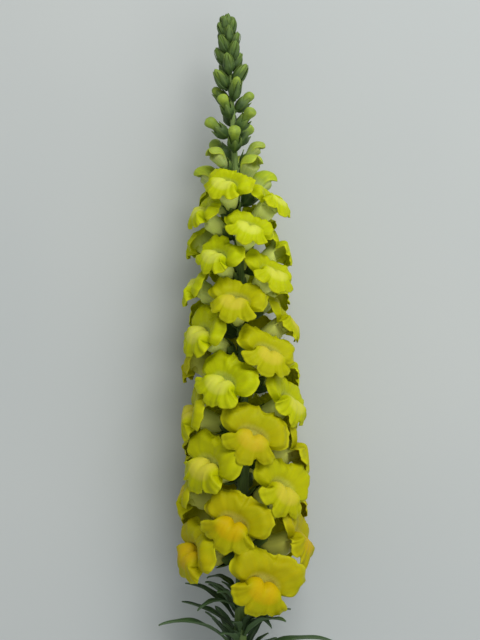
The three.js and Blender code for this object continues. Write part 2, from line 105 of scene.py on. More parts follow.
# Tube rows are x, half width, half height; upper lip rows x, how far out; lower lip rows x, how far
# out, how far up the palate lifts.
TUBE = (
    (2.5, 1.2, 1.2),
    (3.4, 2.4, 2.7),
    (5.0, 3.4, 4.0),
    (8.0, 4.4, 4.7),
    (11.8, 5.8, 5.2),
    (15.5, 7.3, 5.9),
)
UPPER_LIP = (
    (18.0, 0.0),
    (20.0, 0.27),
    (21.8, 1.62),
    (23.2, 4.32),
    (23.9, 7.38),
    (23.8, 10.26),
    (22.9, 12.78),
    (21.2, 14.94),
)
LOWER_LIP = (
    (17.2, 0.3, 3.4),
    (18.0, 0.5, 8.4),
    (20.4, 0.9, 11.2),
    (24.6, 1.3, 10.6),
    (27.6, 1.5, 6.4),
    (25.6, 2.8, 1.0),
    (25.4, 6.3, 0.0),
    (22.8, 9.2, 0.0),
)
POUCH = 1.0
LAST_ROW = len(TUBE) + len(UPPER_LIP) - 1

# Outline of the lips, in degrees round the flower and shares of their reach.
NOTCH_DEPTH, NOTCH_WIDTH = 0.16, 7
SHOULDERS = (0.88, 1.12)  # beside the notch, and at the corners
SIDE_LOBE, SIDE_LOBE_HALF = 58, 33
MIDDLE_LOBE_REACH, MIDDLE_LOBE_HALF = 0.88, 29
GAP_REACH = 0.16
FURROW_DEPTH, FURROW_WIDTH = 0.2, 11

# How far a petal leaves its smooth curve: the wide and fine waves of its margin, how much the margin
# curls back at least and how much more by chance, and the creases and dents of its face.
FRILL_WIDE, FRILL_FINE = 1.1, 0.42
UPPER_CURL, LOWER_CURL = (0.3, 3.6), (0.3, 1.8)
CREASE, DENT, DENT_PITCH = 0.05, 0.5, 1.7
PETAL_ROOT_THICKNESS, PETAL_MARGIN_THICKNESS = 0.62, 0.34

TIP_SUNK, TIP_LENGTH, TIP_WIDTH = 4.0, 11.5, 5.6

CALYX_FOOT, CALYX_FLOOR, CALYX_GAP, CALYX_TIP = -2.6, 2.0, 4.0, 8.0
CALYX_INSIDE = 2.6  # where the inside of the calyx starts
SEPAL_COUNT = 5
SEPAL_THICKNESS = 0.4
SEPAL_THICKNESS_ON_BUD = 0.3


# ---- Small helpers ------------------------------------------------------------------------------


def lerp(a, b, t):
    return a + (b - a) * t


def smooth(low, high, value):
    t = np.clip((value - low) / (high - low), 0, 1)
    return t * t * (3 - 2 * t)


def bump(value, centre, width):
    return np.exp(-(((value - centre) / width) ** 2))


def chance(i, k):
    """A repeatable number from 0 to 1 for item i and purpose k: the fraction of a fast sine."""
    wave = np.sin(np.asarray(i) * 12.9898 + (k + 0.1 * SEED) * 78.233) * 43758.5453
    return wave - np.floor(wave)


def unit(vectors):
    return vectors / np.maximum(np.linalg.norm(vectors, axis=-1, keepdims=True), 1e-9)


def linear(red, green, blue):
    """A colour given as 0 to 255 on a screen, as the numbers a shader takes."""
    c = np.array([red, green, blue]) / 255
    c = np.where(c <= 0.04045, c / 12.92, ((c + 0.055) / 1.055) ** 2.4)
    return (*map(float, c), 1.0)


# ---- The stalk's line ---------------------------------------------------------------------------


def stalk_point(s):
    """Centre of the stalk at distance s from the cut: a half sine to the side, and a rise that
    levels out where the flowers carry it."""
    s = np.asarray(s, float)
    rise = 1 - (1 - np.clip(s / LEVEL_FROM, 0, 1)) ** RISE_POWER
    aside = BOW * np.sin(np.pi * s / STEM_LENGTH)
    return np.stack([aside, s, CUT_RADIUS + (REST_HEIGHT - CUT_RADIUS) * rise], -1)


def stalk_radius(s):
    s = np.asarray(s, float)
    t = np.clip((s - FIRST_FLOWER) / (STEM_LENGTH - FIRST_FLOWER), 0, 1)
    lower = lerp(CUT_RADIUS, RACEME_RADIUS, s / FIRST_FLOWER)
    return np.where(s < FIRST_FLOWER, lower, lerp(RACEME_RADIUS, TIP_RADIUS, t**1.6))


def stalk_frame(s):
    """The stalk's direction by central difference, and the level and upward directions square to it."""
    s = np.asarray(s, float)
    along = unit(stalk_point(np.minimum(STEM_LENGTH, s + 0.5)) - stalk_point(np.maximum(0, s - 0.5)))
    side = unit(np.cross(along, [0.0, 0.0, 1.0]))
    return along, side, np.cross(side, along)


def outward(side, up, turn):
    """The direction away from the stalk at an angle round it, 0 being up."""
    turn = np.radians(np.asarray(turn))[..., None]
    return side * np.sin(turn) + up * np.cos(turn)


def press(points):
    """Squeezes heights under PRESS_HEIGHT into the layer above PRESS_FLOOR, by an exponential."""
    room = PRESS_HEIGHT - PRESS_FLOOR
    z = points[..., 2]
    low = PRESS_FLOOR + room * np.exp((np.minimum(z, PRESS_HEIGHT) - PRESS_HEIGHT) / room)
    out = points.copy()
    out[..., 2] = np.where(z < PRESS_HEIGHT, low, z)
    return out


def stalk_shift():
    """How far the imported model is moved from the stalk's own origin: the middle of the cut face's
    points in the solid, less where the line starts."""
    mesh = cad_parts["stem"].data
    points = np.empty(len(mesh.vertices) * 3, np.float32)
    mesh.vertices.foreach_get("co", points)
    points = np.unique(points.reshape(-1, 3).astype(float).round(6), axis=0) / MM
    cut = points[points[:, 1] < points[:, 1].min() + CUT_LEAN]
    return cut.mean(0) - stalk_point(0)


SHIFT = stalk_shift()


# ---- Making a piece -----------------------------------------------------------------------------


def corner_places(*corners):
    """Places of the corners of many faces at once, from a pair of arrays for each corner."""
    return np.stack([np.stack(corner, -1) for corner in corners], -2)


class Skin:
    """Gathers closed surfaces for one piece. Each is a stack of rings of points, joined in turn and
    closed by a point at both ends, with numbers carried at its points and, for each corner of a
    face, its place as (share of the way round, share of the way along)."""

    def __init__(self):
        self.points, self.values, self.count = [], {}, 0
        self.faces, self.places = [[], []], [[], []]

    def add(self, rings, ends=None, **values):
        rows, around = rings.shape[:2]
        first, last = ends if ends is not None else (rings[0].mean(0), rings[-1].mean(0))
        points = np.concatenate([rings.reshape(-1, 3), [first, last]])
        row, k = np.mgrid[0 : rows - 1, 0:around]
        ahead = (k + 1) % around
        here, above = row * around, (row + 1) * around
        quads = np.stack([here + k, here + ahead, above + ahead, above + k], -1).reshape(-1, 4)
        u, u2 = k / around, (k + 1) / around
        v, v2 = row / (rows - 1), (row + 1) / (rows - 1)
        quad_places = corner_places((u, v), (u2, v), (u2, v2), (u, v2)).reshape(-1, 4, 2)
        k = np.arange(around)
        ahead, top, size = (k + 1) % around, (rows - 1) * around, rows * around
        start, finish = np.full_like(k, size), np.full_like(k, size + 1)
        first_fan = np.stack([start, ahead, k], -1)
        last_fan = np.stack([top + k, top + ahead, finish], -1)
        triangles = np.concatenate([first_fan, last_fan])
        u, u2, middle = k / around, (k + 1) / around, (k + 0.5) / around
        zero, one = np.zeros(around), np.ones(around)
        first_places = corner_places((middle, zero), (u2, zero), (u, zero))
        last_places = corner_places((u, one), (u2, one), (middle, one))
        triangle_places = np.concatenate([first_places, last_places])
        corners = np.concatenate([quads[:, [0, 1, 2]], quads[:, [0, 2, 3]], triangles])
        a, b, c = points[corners[:, 0]], points[corners[:, 1]], points[corners[:, 2]]
        if np.einsum("ij,ij->", a, np.cross(b, c)) < 0:  # a negative volume is inside out
            quads, quad_places = quads[:, ::-1], quad_places[:, ::-1]
            triangles, triangle_places = triangles[:, ::-1], triangle_places[:, ::-1]
        self.points.append(points)
        for kind, (faces, places) in enumerate([(quads, quad_places), (triangles, triangle_places)]):
            self.faces[kind].append(faces + self.count)
            self.places[kind].append(places)
        for name, value in values.items():
            spread = np.broadcast_to(value, (rows, around)).astype(float)
            flat = np.concatenate([spread.reshape(-1), [spread[0].mean(), spread[-1].mean()]])
            self.values.setdefault(name, []).append(flat)
        self.count += len(points)

    def piece(self, name, finish, slot, *nodes):
        """Turns what was gathered into one object that rides on the stem and stands for the nodes."""
        mesh = bpy.data.meshes.new(name)
        points = (np.concatenate(self.points) + SHIFT) * MM
        faces = [np.concatenate(f) for f in self.faces]
        places = np.concatenate([np.concatenate(p).reshape(-1, 2) for p in self.places])
        corners = np.concatenate([f.reshape(-1) for f in faces])
        sizes = np.concatenate([np.full(len(f), f.shape[1]) for f in faces])
        mesh.vertices.add(len(points))
        mesh.vertices.foreach_set("co", points.reshape(-1).astype(np.float32))
        mesh.loops.add(len(corners))
        mesh.loops.foreach_set("vertex_index", corners.astype(np.int32))
        mesh.polygons.add(len(sizes))
        mesh.polygons.foreach_set("loop_start", (np.cumsum(sizes) - sizes).astype(np.int32))
        mesh.update(calc_edges=True)
        mesh.polygons.foreach_set("use_smooth", np.ones(len(sizes), bool))
        layer = mesh.uv_layers.new(name="place")
        layer.data.foreach_set("uv", places.reshape(-1).astype(np.float32))
        for key, parts in self.values.items():
            held = mesh.attributes.new(key, "FLOAT", "POINT")
            held.data.foreach_set("value", np.concatenate(parts).astype(np.float32))
        mesh.materials.append(finish)
        made = bpy.data.objects.new(name, mesh)
        bpy.context.scene.collection.objects.link(made)
        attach(made, "root")
        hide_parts(*nodes)
        return made


# ---- Where each flower, opening bud and bud sits ------------------------------------------------


def organ_places():
    """Distances from the cut: gaps that shrink evenly over the flowers, then a power that closes up
    towards the tip."""
    closing = OPENING_COUNT + BUD_COUNT
    i = np.arange(ORGAN_COUNT)

    def opened(n):
        return FIRST_FLOWER + n * lerp(OLD_GAP, YOUNG_GAP, 0.5 * n / FLOWER_COUNT)

    t = np.clip((i - FLOWER_COUNT) / closing, 0, 1)
    left = STEM_LENGTH - opened(FLOWER_COUNT)
    return np.where(i < FLOWER_COUNT, opened(i), STEM_LENGTH - left * (1 - t) ** CLOSING_POWER)


PLACES = organ_places()


class Organ:
    """A flower or bud's own frame: its root in the stalk, its base, and forward, side and top. It
    leans from the stalk by pitch, is turned by yaw about top and by roll about forward."""

    def __init__(self, i, pitch, pedicel, yaw=0.0, roll=0.0):
        s = PLACES[i]
        along, level, up = stalk_frame(s)
        self.i, self.s = i, s
        self.turn = FIRST_TURN + i * GOLDEN_ANGLE
        self.out = outward(level, up, self.turn)
        p, y, r = np.radians([pitch, yaw, roll])
        forward = along * np.cos(p) + self.out * np.sin(p)
        top = along * np.sin(p) - self.out * np.cos(p)
        self.root = stalk_point(s)
        self.base = self.root + self.out * stalk_radius(s) + (forward + self.out) * pedicel / 2
        self.forward = forward * np.cos(y) + np.cross(top, forward) * np.sin(y)
        self.top = top * np.cos(r) + np.cross(self.forward, top) * np.sin(r)
        self.side = np.cross(self.top, self.forward)

    def put(self, x, y, z):
        x, y, z = (value[..., None] for value in np.broadcast_arrays(x, y, z))
        return self.base + x * self.forward + y * self.side + z * self.top

    def ring(self, x, radius, angle):
        a = np.radians(angle)
        return self.put(x, radius * np.sin(a), radius * np.cos(a))


def play(i, k, whole):
    """A chance amount for item i and purpose k, up to half of whole to either side of 0."""
    return whole * (chance(i, k) - 0.5)


def flower_organ(i):
    age = 1 - i / (FLOWER_COUNT - 1)
    pitch = lerp(YOUNG_PITCH, OLD_PITCH, age) + play(i, 1, PITCH_PLAY)
    organ = Organ(i, pitch, PEDICEL, play(i, 2, YAW_PLAY), ROLL + play(i, 3, ROLL_PLAY))
    organ.age = age
    organ.scale = lerp(YOUNG_SCALE, OLD_SCALE, age) * (1 + play(i, 4, SIZE_PLAY))
    organ.spread = lerp(YOUNG_SPREAD, 1, smooth(0, 0.7, age))
    return organ


def opening_organ(i):
    t = (i - FLOWER_COUNT) / (OPENING_COUNT - 1)
    organ = Organ(i, lerp(*OPENING_PITCH, t) + play(i, 1, PITCH_PLAY), lerp(*OPENING_PEDICEL, t))
    organ.t = t
    organ.length, organ.width = lerp(*OPENING_LENGTH, t), lerp(*OPENING_WIDTH, t)
    organ.scale = lerp(*OPENING_SCALE, t)
    return organ


def bud_organ(i):
    t = (i - FLOWER_COUNT - OPENING_COUNT) / (BUD_COUNT - 1)
    pitch = lerp(*BUD_PITCH, t**0.9) + play(i, 1, BUD_PITCH_PLAY)
    organ = Organ(i, pitch, lerp(*BUD_PEDICEL, t**0.7))
    organ.t, organ.knob = t, smooth(EGGS_FROM, KNOBS_UNTIL, t)
    organ.length, organ.width = lerp(*BUD_LENGTH, t**0.8), lerp(*BUD_WIDTH, t**0.9)
    return organ


def tip_organ():
    """The growing tip: one more young bud, straight ahead of the stalk's end."""
    organ = bud_organ(ORGAN_COUNT - 1)
    turn = organ.turn + GOLDEN_ANGLE
    along, level, up = stalk_frame(STEM_LENGTH)
    organ.i, organ.turn, organ.out = ORGAN_COUNT, turn, outward(level, up, turn)
    organ.forward, organ.top = along, -organ.out
    organ.side = np.cross(organ.top, organ.forward)
    organ.base = organ.root = stalk_point(STEM_LENGTH - TIP_SUNK)
    organ.length, organ.width = TIP_LENGTH, TIP_WIDTH
    return organ


FLOWERS = [flower_organ(i) for i in range(FLOWER_COUNT)]
OPENING = [opening_organ(i) for i in range(FLOWER_COUNT, FLOWER_COUNT + OPENING_COUNT)]
BUDS = [bud_organ(i) for i in range(FLOWER_COUNT + OPENING_COUNT, ORGAN_COUNT)]
BUDS.append(tip_organ())


# ---- The corolla --------------------------------------------------------------------------------


def lobe(angle, centre, half):
    """Round outline of one lobe: 1 in its middle, 0 at its two gaps."""
    return np.clip(1 - np.abs((angle - centre) / half) ** 2.2, 0, 1) ** 0.55


def petal_angles(count):
    """Angles round the flower, closest together where petals end: at the notch above, at the
    corners of the mouth and at the gaps beside the middle lobe."""
    fine = np.linspace(-180, 180, 2881)
    up = np.abs(fine)
    crowding = 1 + 1.2 * bump(up, 0, 9) + 2.2 * bump(up, 90, 10) + 2.5 * bump(up, 153, 6)
    total = np.cumsum(crowding)
    return np.interp(np.arange(count) / count * total[-1], total, fine)


def petal_lines(angle, openness, ragged):
    """Control points, row by row, of the lines that run from the base of the tube to the margins
    of the lips: two lobes above, a palate and three lobes below. Ragged scales each lobe's reach."""
    up = np.abs(angle)
    low = 180 - up
    mix = smooth(84, 98, up)
    notch = 1 - NOTCH_DEPTH * bump(up, 0, NOTCH_WIDTH)
    shoulder = lerp(*SHOULDERS, smooth(14, 52, up))
    upper_reach = ragged * notch * shoulder * np.clip(1 - (up / 92) ** 6, 0.04, 1) ** 0.65
    lobes = np.maximum(
        lobe(low, SIDE_LOBE, SIDE_LOBE_HALF),
        MIDDLE_LOBE_REACH * lobe(low, 0, MIDDLE_LOBE_HALF),
    )
    lower_reach = ragged * np.maximum(lobes, GAP_REACH)
    furrow = 1 - FURROW_DEPTH * bump(low, 0, FURROW_WIDTH)
    palate = np.clip(np.cos(np.radians(np.minimum(low * 1.15, 90))), 0, 1) ** 0.7 * furrow
    stand = smooth(92, 72, low)
    above = up * (0.75 + 0.27 * smooth(30, 88, up))
    below = 180 - low * (1.12 - 0.1 * smooth(50, 88, low))
    spread = np.sign(angle) * np.radians(lerp(above, below, mix))
    sine, cosine = np.sin(np.radians(angle)), np.cos(np.radians(angle))
    rows = []
    for row, (x, half, tall) in enumerate(TUBE):
        pouch = POUCH * cosine**2 * (cosine < 0) * (row == 2)
        rows.append(np.stack([x + 0 * sine, half * sine, tall * cosine - pouch], -1))
    mouth = rows[-1]
    root_x, root_out, _ = LOWER_LIP[5]
    for row, ((upper_x, upper_out), (lower_x, lower_out, lift)) in enumerate(zip(UPPER_LIP, LOWER_LIP)):
        reach = upper_reach if row > 1 else 1.0
        hinge_x, hinge_out = UPPER_LIP[1] if row > 1 else (upper_x, upper_out)
        ux, u_out = lerp(hinge_x, upper_x, reach), lerp(hinge_out, upper_out, reach)
        forward = lerp(root_x, lower_x, lower_reach) if row > 5 else lower_x
        away = lerp(root_out, lower_out, lower_reach) if row > 5 else lower_out
        lx = mouth[:, 0] + (forward - mouth[:, 0]) * (0.25 + 0.75 * stand)
        l_out = away * (0.3 + 0.7 * stand)
        out = lerp(u_out, l_out, mix) * openness
        z = mouth[:, 2] + out * np.cos(spread) + lift * palate * mix
        rows.append(np.stack([lerp(ux, lx, mix), mouth[:, 1] + out * np.sin(spread), z], -1))
    return np.array(rows), palate * mix, mix


def spline(rows, t):
    """Points of the cubic B-spline through rows of control points, its ends pinned."""
    rows_out = np.concatenate([2 * rows[:1] - rows[1:2], rows, 2 * rows[-1:] - rows[-2:-1]])
    i = np.minimum(np.floor(t).astype(int), len(rows) - 2)
    f = (t - i).reshape((-1,) + (1,) * (rows.ndim - 1))
    return (
        (1 - f) ** 3 * rows_out[i]
        + (3 * f**3 - 6 * f**2 + 4) * rows_out[i + 1]
        + (-3 * f**3 + 3 * f**2 + 3 * f + 1) * rows_out[i + 2]
        + f**3 * rows_out[i + 3]
    ) / 6


PETAL_ANGLES = petal_angles(112)
# Where a petal is cut into rings, counted in rows of petal_lines: up its back from the foot of the
# tube to the margin, and down its front from the margin to the closed mouth.
LIP_ROWS = np.linspace(10.0, LAST_ROW, 13)
BACK_ROWS = np.concatenate([np.linspace(0, 5, 8), np.linspace(5.6, 9.6, 9), LIP_ROWS])
FRONT_ROWS = np.concatenate([LIP_ROWS[::-1], np.linspace(9.6, 6.6, 8)])


def waves(angle, i, purpose, counts):
    """A sum of sines round the flower, each with its own phase, between about -1 and 1."""
    total = 0
    for n, count in enumerate(counts):
        phase = FULL_TURN * chance(i, purpose + n)
        total = total + np.sin(np.radians(angle) * count + phase) / (1 + 0.5 * n)
    return total / (0.6 * len(counts))


def corolla(organ):
    """The flower's petals as one thin closed skin. Each face is the spline of petal_lines over the
    angle and the way along. Both are moved alike along their normal: by waves and a curl that grow
    towards the margin, and by creases and dents. The front face stands off by the petal's thickness.
    What would reach under the surface is pressed flat on it."""
    angle, i = PETAL_ANGLES, organ.i
    ragged = 0.96 + 0.05 * waves(angle, i, 20, (13, 23, 37)) + 0.07 * waves(angle, i, 24, (1, 2, 3))
    lines, palate, mix = petal_lines(angle, organ.spread, ragged)

    def sheet(t):
        points = spline(lines, t)
        steps = np.gradient(t)[:, None, None]
        round_way = np.roll(points, -1, 1) - np.roll(points, 1, 1)
        along_way = np.gradient(points, axis=0) / steps
        normal = unit(np.cross(round_way, along_way))
        ahead = unit(np.array([1.0, 0.0, 0.4]))
        corner = bump(np.abs(angle), 91, 12)[None, :, None]
        normal = unit(lerp(normal, ahead, corner))
        margin = smooth(8.6, 13, t)[:, None]
        wide = FRILL_WIDE * waves(angle, i, 30, (4, 7, 11))
        fine = FRILL_FINE * waves(angle, i, 40, (17, 27))
        uneven = lerp(chance(i, 46), chance(i, 48), smooth(-35, 35, angle))
        upper_curl = UPPER_CURL[0] + UPPER_CURL[1] * uneven
        lower_curl = LOWER_CURL[0] + LOWER_CURL[1] * chance(i, 47)
        curl = lerp(upper_curl, lower_curl, mix)
        frill = margin**1.5 * (wide + fine)[None] - margin**1.6 * curl[None]
        frill = frill * (1 - 0.7 * bump(np.abs(angle), 90, 14))[None]
        even = (1 - palate)[None]
        crease = CREASE * smooth(5.5, 8.5, t)[:, None] * waves(angle, i, 50, (19, 33))[None] * even
        phase = 2.2 * waves(angle, i, 54, (3, 5, 8))[None] + FULL_TURN * chance(i, 58)
        dents = DENT * smooth(8.0, 10.5, t)[:, None] * np.sin(DENT_PITCH * t[:, None] + phase) * even
        return points + normal * (frill + crease + dents)[..., None], normal

    back, _ = sheet(BACK_ROWS)
    front, front_normal = sheet(FRONT_ROWS)
    thick = lerp(PETAL_ROOT_THICKNESS, PETAL_MARGIN_THICKNESS, smooth(9, 13, FRONT_ROWS))
    front = front + front_normal * thick[:, None, None]
    rings = np.concatenate([back, front]) * organ.scale
    t = np.concatenate([BACK_ROWS, FRONT_ROWS])[:, None]
    face = np.concatenate([np.zeros(len(BACK_ROWS)), np.ones(len(FRONT_ROWS))])[:, None]
    boss = palate[None] * smooth(6.5, 8.0, t) * (1 - smooth(10.4, 11.6, t))
    skin = Skin()
    skin.add(
        press(organ.put(rings[..., 0], rings[..., 1], rings[..., 2])),
        along=t / LAST_ROW,
        front=face,
        boss=boss,
        age=organ.age,
        tint=chance(i, 60),
    )
    return skin


# ---- Opening buds -------------------------------------------------------------------------------

OPENING_ROWS = (
    # share of length, half width, half height and drop as shares of the width
    (0.06, 0.06, 0.06, 0.0),
    (0.15, 0.17, 0.17, 0.0),
    (0.45, 0.34, 0.34, -0.02),
    (0.7, 0.5, 0.46, 0.0),
    (0.88, 0.44, 0.38, -0.1),
    (0.97, 0.25, 0.2, -0.15),
    (1.0, 0.08, 0.07, -0.16),
)


def opening_bud(organ):
    """A tube that swells to a hood over the closed lower lip. The radius follows OPENING_ROWS. The
    hood's rim runs down from the sides to the tip like a gable: under it the skin steps inwards, a
    little along the lower lip and deeply in front of it."""
    t = np.linspace(0, len(OPENING_ROWS) - 1, 48)
    share, half, tall, drop = (column[:, None] for column in spline(np.array(OPENING_ROWS), t).T)
    around = 96
    angle = np.arange(around) * 360 / around - 180
    up = np.abs(angle)[None]
    rim = 92 + 62 * smooth(0.58, 1.0, share) - 10 * bump(share, 0.72, 0.1)
    under = smooth(-3, 4, up - rim) * smooth(0.34, 0.5, share)
    mouth = under * smooth(0.7, 0.79, share + 0.05 * bump(up, 180, 26))
    edge = bump(up, rim - 5, 7) * smooth(0.5, 0.68, share)
    cleft = 0.05 * bump(up, 0, 8) * smooth(0.62, 0.9, share)
    pleats = np.sin(np.radians(angle) * 7 + 6 * chance(organ.i, 3))[None]
    ripple = 0.015 * pleats * smooth(0.4, 0.8, share)
    furrow = 0.06 * bump(up, 180, 9) * smooth(0.45, 0.7, share)
    pinch = 1 - 0.1 * under - 0.42 * mouth + 0.06 * edge - cleft + ripple - furrow
    a = np.radians(angle)[None]
    x = np.maximum(share * organ.length, CALYX_FLOOR * organ.scale + SEAT_GAP) + 0 * a
    y = half * organ.width * np.sin(a) * pinch
    z = (tall * np.cos(a) * pinch + drop) * organ.width
    tip_drop = OPENING_ROWS[-1][3] * organ.width
    ends = (organ.put(x[0].mean(), 0.0, 0.0), organ.put(organ.length, 0.0, tip_drop))
    skin = Skin()
    skin.add(
        press(organ.put(x, y, z)),
        ends=ends,
        along=share,
        under=under,
        mouth=mouth,
        rim=edge * (1 - under),
        age=organ.t,
    )
    return skin


# ---- Calyces, pedicels, bracts and green buds ---------------------------------------------------

CALYX_X = (-2.6, -2.2, -1.0, 0.5, 2.0, 4.0, 6.0, 8.0)
CALYX_R = (0.3, 1.2, 2.2, 3.3, 4.3, 4.9, 5.25, 5.6)
SEPAL_ANGLES = np.arange(50) * 7.2  # ten steps to each sepal
SEPAL_POINT = 1.25  # power of a sepal's outline: 1 is a straight-sided point, more is rounder


def sepal_outline(angle):
    """Of the five sepals, for each angle: how far the outline reaches, from 0 in the gaps to 1 at the
    tips; how far off the sepal's midline it is, from 0 to 1; and which sepal it is."""
    turns = angle / (360 / SEPAL_COUNT) + 0.5
    off = np.abs((turns % 1 - 0.5) * 2)
    return 1 - off**SEPAL_POINT, off, np.floor(turns % SEPAL_COUNT)


def add_calyx(skin, organ):
    """Five pointed sepals round the foot of a flower: a cup whose rim is a star. The outside runs
    from the foot to the rim at CALYX_R over CALYX_X, with a rib up each sepal and a groove between,
    the inside back down to the floor. Each tip's length and bend are left to chance."""
    scale = organ.scale
    share, off, which = sepal_outline(SEPAL_ANGLES)
    tip = CALYX_TIP + play(organ.i * 7 + which, 71, 1.4)
    bend = 0.9 * (chance(organ.i * 7 + which, 72) - 0.35)
    rim = lerp(CALYX_GAP, tip, share)
    v = np.linspace(0, 1, 9)[:, None]
    w = np.linspace(1, 0, 4)[:, None]
    outer_x = lerp(CALYX_FOOT, rim[None], v)
    inner_x = lerp(CALYX_INSIDE, rim[None] - 0.1, w)
    rib = 0.16 * bump(off, 0, 0.16)[None]
    groove = 0.12 * bump(off, 1, 0.2)[None] * smooth(0, 3, outer_x)
    outer_r = np.interp(outer_x, CALYX_X, CALYX_R) + bend * smooth(5, 8, outer_x) ** 1.5 + rib - groove
    inner_r = np.interp(inner_x, CALYX_X, CALYX_R) - SEPAL_THICKNESS
    inner_r = inner_r + bend * smooth(5, 8, inner_x) ** 1.5
    x, radius = np.concatenate([outer_x, inner_x]) * scale, np.concatenate([outer_r, inner_r]) * scale
    skin.add(
        press(organ.ring(x, radius, SEPAL_ANGLES[None])),
        ends=(organ.put(CALYX_FOOT * scale, 0.0, 0.0), organ.put(CALYX_FLOOR * scale, 0.0, 0.0)),
        tip=np.concatenate([smooth(0.55, 1, v) * share[None], w * share[None]]),
        rib=bump(off, 0, 0.2)[None],
        tint=chance(organ.i, 73),
    )


def add_pedicel(skin, organ, radius):
    """A short tapered rod from inside the stalk to the foot of the organ."""
    t = np.linspace(0, 1, 7)[:, None]
    end = organ.put(0.2, 0.0, 0.0)
    axis = unit(end - organ.root)
    across = unit(organ.side - axis * (organ.side @ axis))
    upright = np.cross(axis, across)
    a = np.radians(np.arange(10) * 36.0)[None]
    r = radius * (1 + 0.3 * (1 - t) ** 4 + 0.2 * t**3)
    centre = lerp(organ.root, end, t)[:, None]
    rings = centre + r[..., None] * (np.cos(a)[..., None] * across + np.sin(a)[..., None] * upright)
    skin.add(press(rings), tip=0.25, rib=0.0, tint=chance(organ.i, 74))


# Length and width of the bracts that stand off, and their lean from the stalk at root and tip; width
# and reach along its bud of one that clasps it, from the oldest bud to the youngest.
BRACT_SIZE, BRACT_LEAN = (8.5, 3.4), (18, 52)
BUD_BRACT_SIZE, BUD_BRACT_LEAN = (8.0, 3.2), (18, 48)
CLASPING_WIDTH, CLASPING_REACH = (4.6, 4.4), (0.84, 0.98)
CLASPED_FROM = 0.3  # share of the way up the buds, above which a bract clasps its bud
BRACT_DROP = 1.6  # how far below its organ a bract starts
BRACT_ROOT = 0.3  # how far a bract reaches into the stalk
BRACT_LEAST = 0.05  # half a bract's width at its very tip

# Section of a bract, once round it: the share of its half width, and which face a point is on.
BRACT_ACROSS = np.array([-1, -0.55, 0, 0.55, 1, 0.55, 0, -0.55])
BRACT_FACE = np.array([0, 1, 1, 1, 0, -1, -1, -1])


def add_bract(skin, organ, length, width, lean):
    """A small pointed leaf under an organ. Its midline leans from the stalk by the first angle of lean
    at its root and the second at its tip, its half width is a power curve of the way along, and its
    margins stand up a little."""
    i, s = organ.i, organ.s - BRACT_DROP
    along, level, up = stalk_frame(s)
    out = outward(level, up, organ.turn + play(i, 81, 8))
    across = np.cross(along, out)
    count = 10
    t = np.linspace(0.0, 1, count + 1)
    pitch = np.radians(lerp(*lean, t**0.7))
    steps = (np.cos(pitch)[:, None] * along + np.sin(pitch)[:, None] * out) * length / count
    line = stalk_point(s) + out * (stalk_radius(s) - BRACT_ROOT) + np.cumsum(steps, 0) - steps[0]
    face = unit(np.cross(across, steps))
    swell = 0.35 + 0.65 * smooth(0, 0.35, t)
    half = width / 2 * swell * np.clip(1 - t**2.2, 0.0, 1) ** 0.8 + BRACT_LEAST
    u = BRACT_ACROSS
    lift = np.array([0.42, 0.12, 0, 0.12, 0.42, 0.12, 0, 0.12])
    rings = line[:, None] + half[:, None, None] * u[None, :, None] * across
    rings = rings + (half[:, None] * lift[None] + BRACT_FACE[None] * 0.16)[..., None] * face[:, None]
    skin.add(press(rings), tip=smooth(0.6, 1, t)[:, None], rib=bump(u, 0, 0.3)[None], tint=chance(i, 82))


# Radius of a closed bud as a share of its width, over shares of its length: of the bud inside, and of
# the sepals round it, for a young bud (an egg) and an old one (a neck and a knob).
BUD_ALONG = (-0.08, -0.02, 0.1, 0.25, 0.42, 0.58, 0.74, 0.87, 0.95, 1.0)
EGG = (0.05, 0.18, 0.33, 0.42, 0.43, 0.4, 0.32, 0.22, 0.12, 0.02)
KNOB = (0.05, 0.18, 0.33, 0.38, 0.31, 0.31, 0.41, 0.42, 0.28, 0.03)
EGG_SEPALS = (0.08, 0.28, 0.42, 0.5, 0.5, 0.46, 0.38, 0.27, 0.15, 0.04)
KNOB_SEPALS = (0.08, 0.28, 0.42, 0.5, 0.46, 0.42, 0.42, 0.4, 0.3, 0.04)
BUD_DROOP = 0.08  # how far a bud's end hangs, as a share of its width


def add_clasping_bract(skin, organ):
    """A pointed leaf pressed against the outer side of a young bud: it follows the sepals' radius
    along the bud to near its end, curved round the bud, and its tip stands off."""
    i, width, reach = organ.i, lerp(*CLASPING_WIDTH, organ.t), lerp(*CLASPING_REACH, organ.t)
    t = np.linspace(0.0, 1, 12)
    x = lerp(-0.14, reach, t)
    shell = np.interp(x, BUD_ALONG, EGG_SEPALS) * organ.width
    tip_off = (0.1 + 0.6 * chance(i, 85)) * smooth(0.5, 1, t)
    shell = np.maximum(shell, 0.16 * organ.width) + SEAT_GAP + tip_off
    swell = 0.5 + 0.5 * smooth(0, 0.3, t)
    half = width / 2 * swell * np.clip(1 - t**2.4, 0, 1) ** 0.85 + BRACT_LEAST
    u = BRACT_ACROSS[None]
    fold = 0.14 * np.abs(u) * half[:, None]
    bend = np.degrees(half / np.maximum(shell, 1.2))[:, None] * u
    radius = shell[:, None] + BRACT_FACE[None] * 0.17 + fold
    rings = organ.ring((x * organ.length)[:, None], radius, 180 + play(i, 86, 16) + bend)
    skin.add(press(rings), tip=smooth(0.5, 1, t)[:, None], rib=bump(u, 0, 0.3), tint=chance(i, 82))


